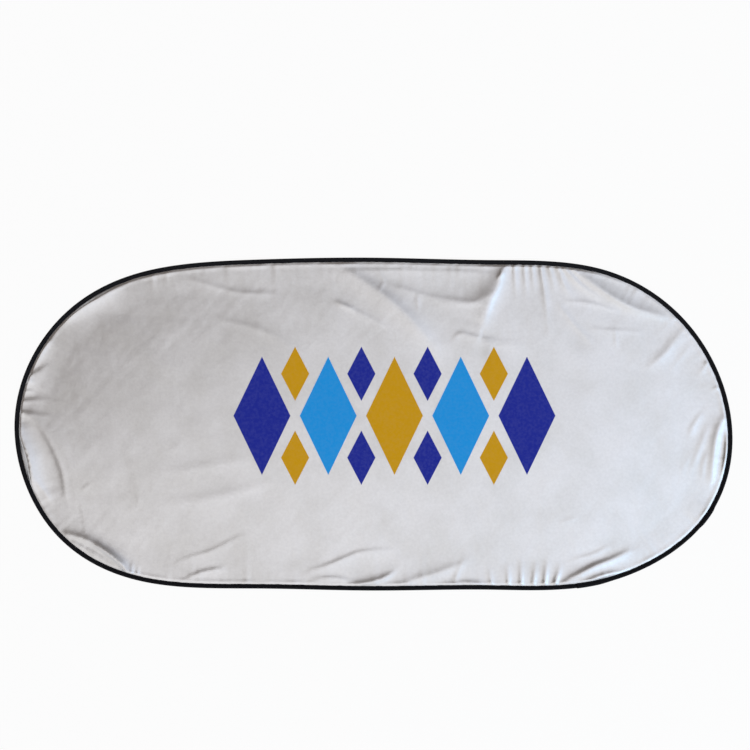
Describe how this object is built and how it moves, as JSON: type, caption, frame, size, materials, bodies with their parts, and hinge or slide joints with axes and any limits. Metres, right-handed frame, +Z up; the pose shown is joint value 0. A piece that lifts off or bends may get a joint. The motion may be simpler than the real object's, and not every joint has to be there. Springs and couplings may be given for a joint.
{
  "type": "car window sunshade",
  "caption": "Oval twist-fold windscreen sunshade: silver-coated cloth stretched in a hoop of flat spring steel, edged with folded black tape.",
  "frame": {"origin": "on the table under the middle of the shade, which lies flat with its silver side up", "axes": "+X along the shade, +Y across it towards the edge under the sun visors, +Z up out of the silver side"},
  "size_m": [1.2997, 0.6028, 0.0113],
  "materials": {
    "silver_taffeta": "silver-coated woven taffeta, soft metallic sheen",
    "binding_tape": "black ribbed grosgrain tape, dull",
    "spring_steel": "tempered flat spring steel, lightly oiled",
    "ferrule_steel": "zinc-plated, crimped",
    "ink_navy": "navy screen-print ink on cloth",
    "ink_sky": "sky-blue screen-print ink on cloth",
    "ink_ochre": "ochre screen-print ink on cloth"
  },
  "bodies": {
    "root": {"fabric_panel": "silver_taffeta", "edge_binding": "binding_tape", "frame_band": "spring_steel", "band_ferrule": "ferrule_steel", "print_lozenge_1": "ink_navy", "print_lozenge_2": "ink_sky", "print_lozenge_3": "ink_ochre", "print_lozenge_4": "ink_sky", "print_lozenge_5": "ink_navy", "print_upper_lozenge_1": "ink_ochre", "print_lower_lozenge_1": "ink_ochre", "print_upper_lozenge_2": "ink_navy", "print_lower_lozenge_2": "ink_navy", "print_upper_lozenge_3": "ink_navy", "print_lower_lozenge_3": "ink_navy", "print_upper_lozenge_4": "ink_ochre", "print_lower_lozenge_4": "ink_ochre"}
  },
  "joints": []
}
